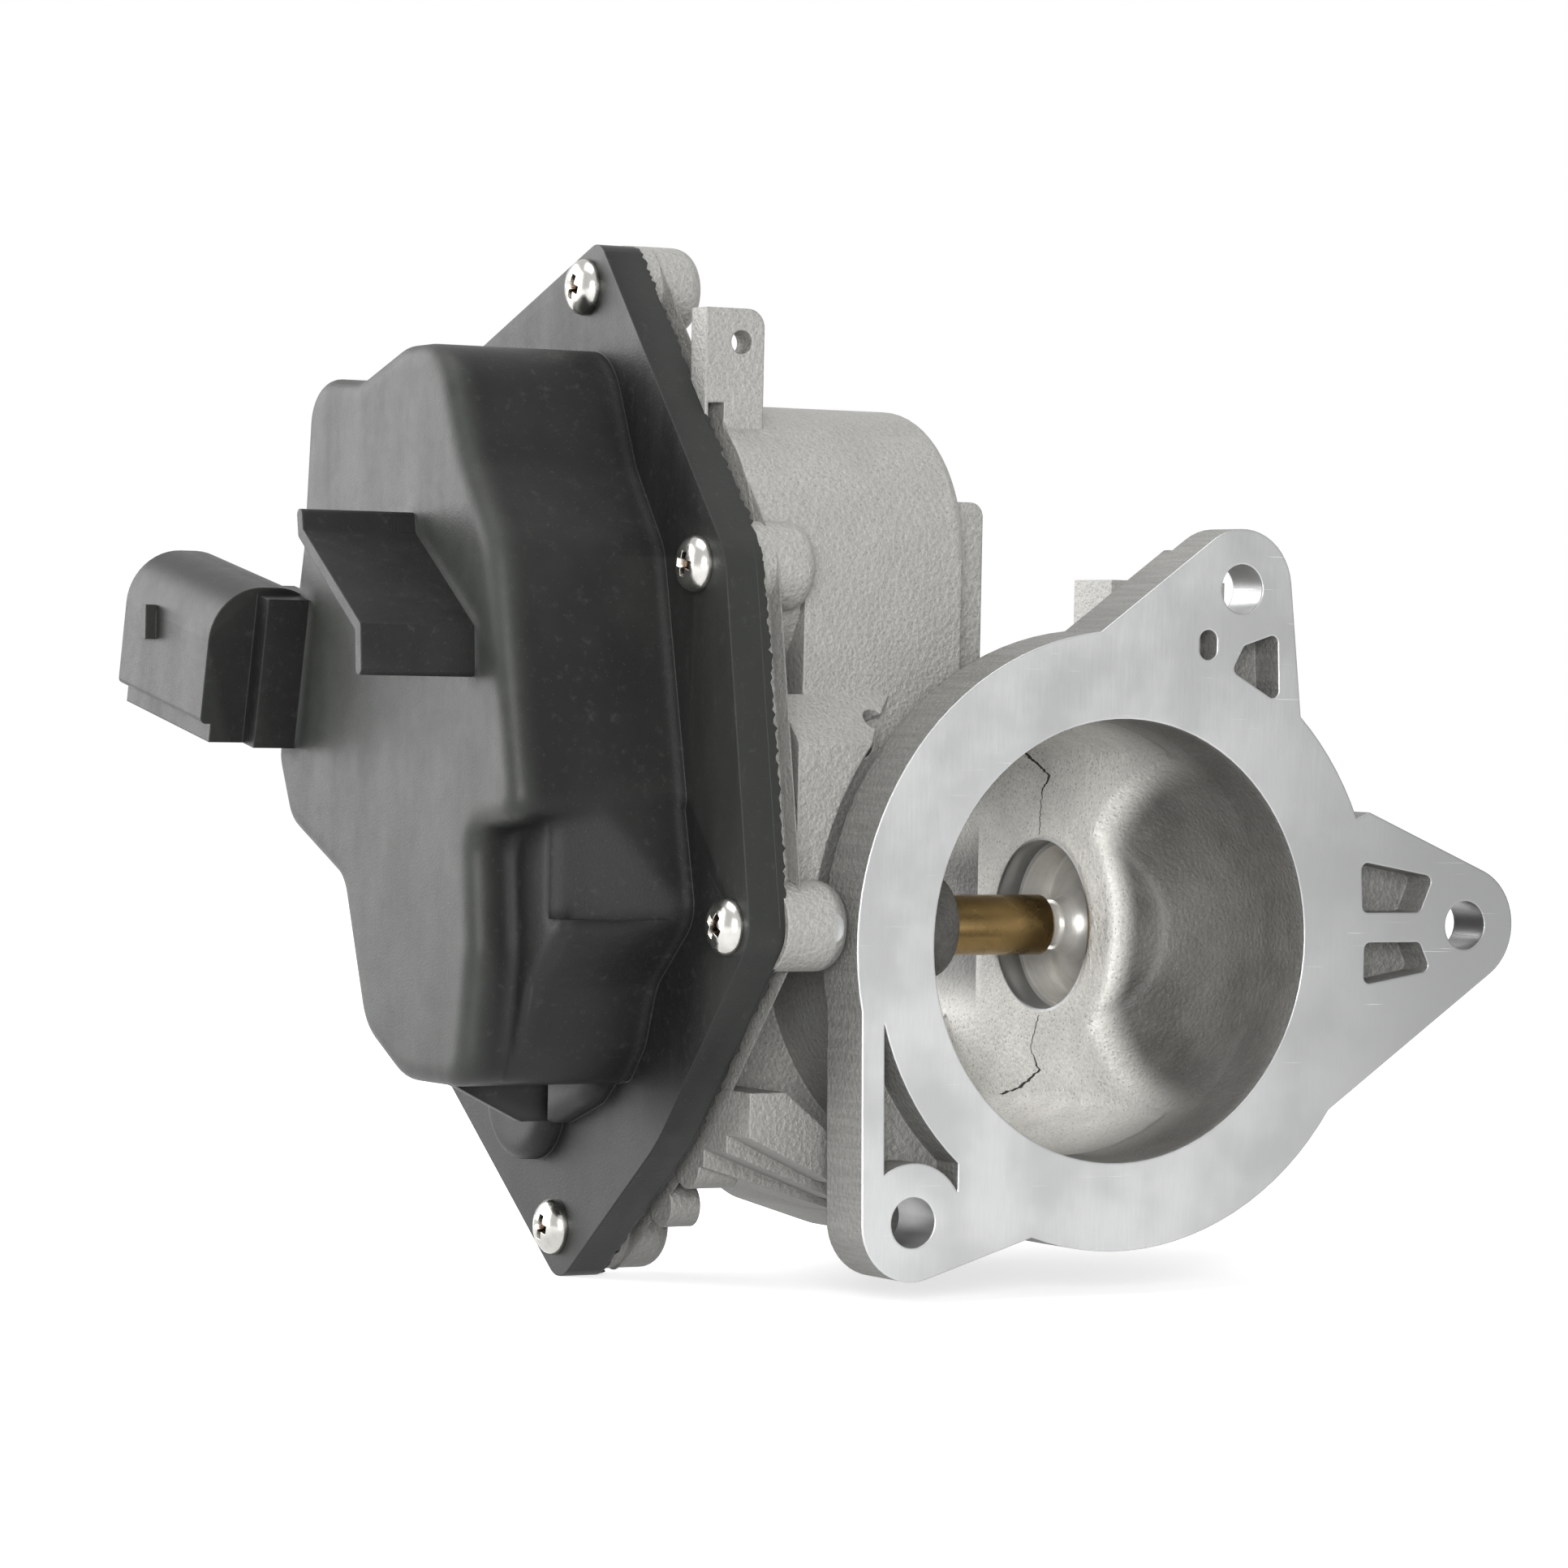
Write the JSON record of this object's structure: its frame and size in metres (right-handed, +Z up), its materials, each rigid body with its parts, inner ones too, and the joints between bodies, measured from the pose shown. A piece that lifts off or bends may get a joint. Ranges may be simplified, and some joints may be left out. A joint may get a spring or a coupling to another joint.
{
  "type": "exhaust gas recirculation valve",
  "caption": "Electric exhaust gas recirculation valve: cast body with bore flange, poppet on a sliding stem, helical cam gear drive, motor, and moulded cover with connector.",
  "frame": {"origin": "centre of the big flange bore on the machined flange face", "axes": "-Y out of the flange face along the bore, -X out of the moulded cover along the valve stem, +Z up towards the motor"},
  "size_m": [0.1666, 0.1133, 0.1414],
  "materials": {
    "cast_aluminium": "sandy cast surface, machined on the flange faces",
    "black_plastic": "fine moulded grain",
    "seal_rubber": "smooth",
    "screw_steel": "zinc plated",
    "guide_brass": "turned",
    "valve_steel": "ground",
    "plated_steel": "pressed and plated",
    "spring_steel": "drawn wire",
    "gear_plastic": "glass-filled, natural colour",
    "magnet_ferrite": "sintered",
    "board_laminate": "solder mask",
    "rotor_steel": "stacked sheets",
    "copper": "turned",
    "bronze": "sintered"
  },
  "bodies": {
    "housing": {"valve_body": "cast_aluminium", "cover": "black_plastic", "cover_seal": "seal_rubber", "cover_screws": "screw_steel", "connector_pins": "plated_steel", "stem_guide": "guide_brass", "valve_seat": "valve_steel", "stem_seal": "seal_rubber", "chamber_plug": "plated_steel", "guide_sleeve": "valve_steel", "return_spring": "spring_steel", "thrust_washer": "plated_steel", "sensor_board": "board_laminate", "gear_pin": "valve_steel", "motor_can": "plated_steel", "motor_end_plate": "plated_steel", "motor_screws": "screw_steel", "motor_magnets": "magnet_ferrite", "motor_bushes": "bronze", "wave_spring": "spring_steel"},
    "rotor": {"motor_rotor": "rotor_steel", "commutator": "copper", "motor_shaft": "valve_steel", "motor_pinion": "guide_brass"},
    "step_gear": {"intermediate_gear": "gear_plastic"},
    "cam_gear": {"output_gear": "gear_plastic", "gear_bush": "bronze", "sensor_magnet": "magnet_ferrite"},
    "stem": {"valve_stem": "valve_steel", "valve_head": "valve_steel", "cross_pin": "valve_steel", "rollers": "valve_steel", "spring_cup": "plated_steel"}
  },
  "joints": [
    {"name": "stem_slide", "type": "slide", "parent": "housing", "child": "stem", "axis": [1, 0, 0], "range_m": [0, 0.006], "stiffness_N_per_m": 900, "springref_m": -0.01, "deforming": ["return_spring"]},
    {"name": "cam_turn", "type": "hinge", "parent": "housing", "child": "cam_gear", "pos_m": [-0.06, 0.047, 0], "axis": [-1, 0, 0], "range_deg": [0, 80.1]},
    {"name": "step_gear_turn", "type": "hinge", "parent": "housing", "child": "step_gear", "pos_m": [-0.06, 0.04937, 0.03153], "axis": [-1, 0, 0], "range_deg": [-340.5, 0]},
    {"name": "motor_turn", "type": "hinge", "parent": "housing", "child": "rotor", "pos_m": [-0.035, 0.036, 0.051], "axis": [-1, 0, 0], "range_deg": [0, 1113]}
  ],
  "couplings": [
    {"joint": "cam_turn", "follows": "stem_slide", "rad_per_m": 232.71},
    {"joint": "step_gear_turn", "follows": "stem_slide", "rad_per_m": -989.02},
    {"joint": "motor_turn", "follows": "stem_slide", "rad_per_m": 3236.8}
  ]
}
